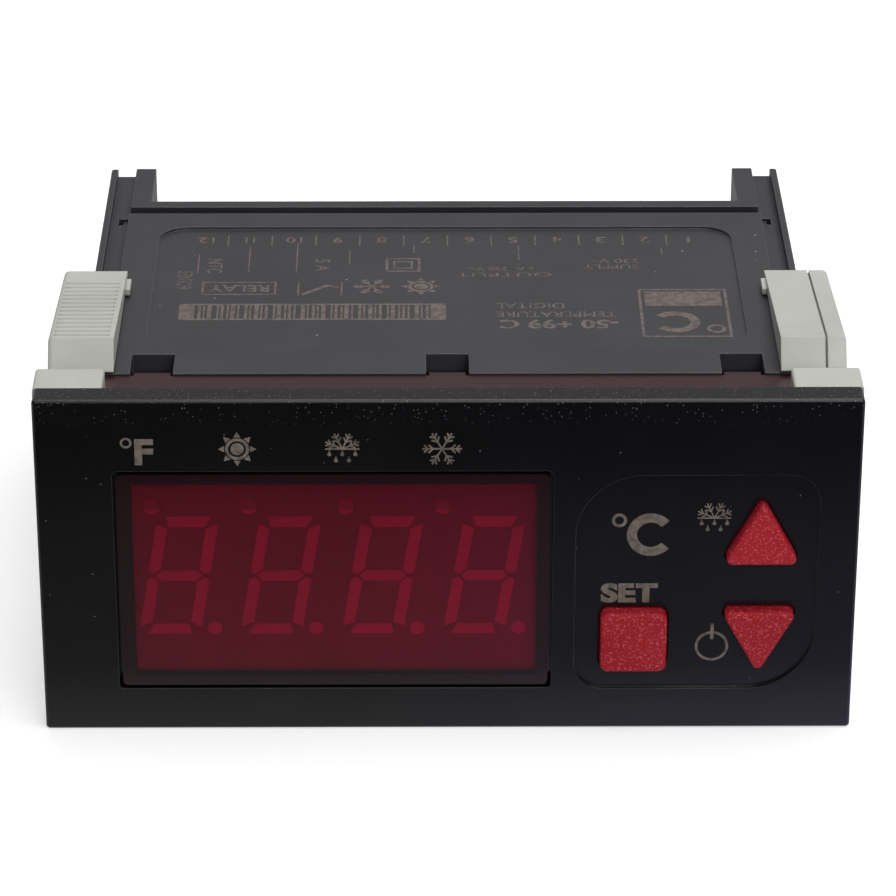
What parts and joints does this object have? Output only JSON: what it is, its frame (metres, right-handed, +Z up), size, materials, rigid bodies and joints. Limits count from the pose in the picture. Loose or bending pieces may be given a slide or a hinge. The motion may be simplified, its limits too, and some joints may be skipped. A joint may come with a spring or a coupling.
{
  "type": "panel mount temperature controller",
  "caption": "Panel mount digital temperature controller with a red figure display, set and arrow keys, side clips that clamp the panel and screw terminals at the rear.",
  "frame": {"origin": "centre of the panel cut-out in the plane of the bezel's back face, which seats on the panel", "axes": "+X to the right seen from the front, +Y into the panel towards the terminals, +Z up"},
  "size_m": [0.0772, 0.0635, 0.035],
  "materials": {
    "case_plastic": "moulded black ABS, fine even texture",
    "bezel_plastic": "moulded black polycarbonate, satin",
    "red_window": "clear dark red polycarbonate, polished in the window",
    "red_key": "moulded red plastic, fine spark texture",
    "switch_black": "moulded black nylon",
    "clip_plastic": "moulded light grey nylon, satin",
    "display_grey": "dark grey printed face",
    "diffuser_white": "milky epoxy",
    "circuit_board": "green solder mask on glass epoxy",
    "terminal_plastic": "moulded black polyamide",
    "plated_steel": "zinc plated steel",
    "core_steel": "stacked silicon steel sheets",
    "winding_tape": "yellow polyester tape over the coil",
    "relay_case": "moulded blue relay case",
    "capacitor_sleeve": "shrunk dark vinyl sleeve on an aluminium can",
    "varistor_epoxy": "dipped blue epoxy",
    "diode_epoxy": "moulded black epoxy"
  },
  "bodies": {
    "case": {"housing": "case_plastic", "rear_cover": "case_plastic", "front_bezel": "bezel_plastic", "window_moulding": "red_window", "tact_switches": "switch_black", "display_mask": "display_grey", "display_diffuser": "diffuser_white", "display_board": "circuit_board", "main_board": "circuit_board", "terminal_block": "terminal_plastic", "terminal_cages": "plated_steel", "terminal_screws": "plated_steel", "transformer_core": "core_steel", "transformer_winding": "winding_tape", "output_relay": "relay_case", "filter_capacitor": "capacitor_sleeve", "output_capacitor": "capacitor_sleeve", "surge_varistor": "varistor_epoxy", "rectifier_diodes": "diode_epoxy", "voltage_regulator": "diode_epoxy", "buzzer": "switch_black", "microcontroller": "diode_epoxy", "board_header": "switch_black"},
    "left_clip": {"left_clip": "clip_plastic"},
    "right_clip": {"right_clip": "clip_plastic"},
    "set_button": {"set_button": "red_key", "set_plunger": "switch_black"},
    "up_button": {"up_button": "red_key", "up_plunger": "switch_black"},
    "down_button": {"down_button": "red_key", "down_plunger": "switch_black"}
  },
  "joints": [
    {"name": "left_clip_slide", "type": "slide", "parent": "case", "child": "left_clip", "axis": [0, 1, 0], "range_m": [0, 0.028]},
    {"name": "right_clip_slide", "type": "slide", "parent": "case", "child": "right_clip", "axis": [0, 1, 0], "range_m": [0, 0.028]},
    {"name": "set_button_press", "type": "slide", "parent": "case", "child": "set_button", "axis": [0, 1, 0], "range_m": [0, 0.0005], "stiffness_N_per_m": 3000},
    {"name": "up_button_press", "type": "slide", "parent": "case", "child": "up_button", "axis": [0, 1, 0], "range_m": [0, 0.0005], "stiffness_N_per_m": 3000},
    {"name": "down_button_press", "type": "slide", "parent": "case", "child": "down_button", "axis": [0, 1, 0], "range_m": [0, 0.0005], "stiffness_N_per_m": 3000}
  ]
}
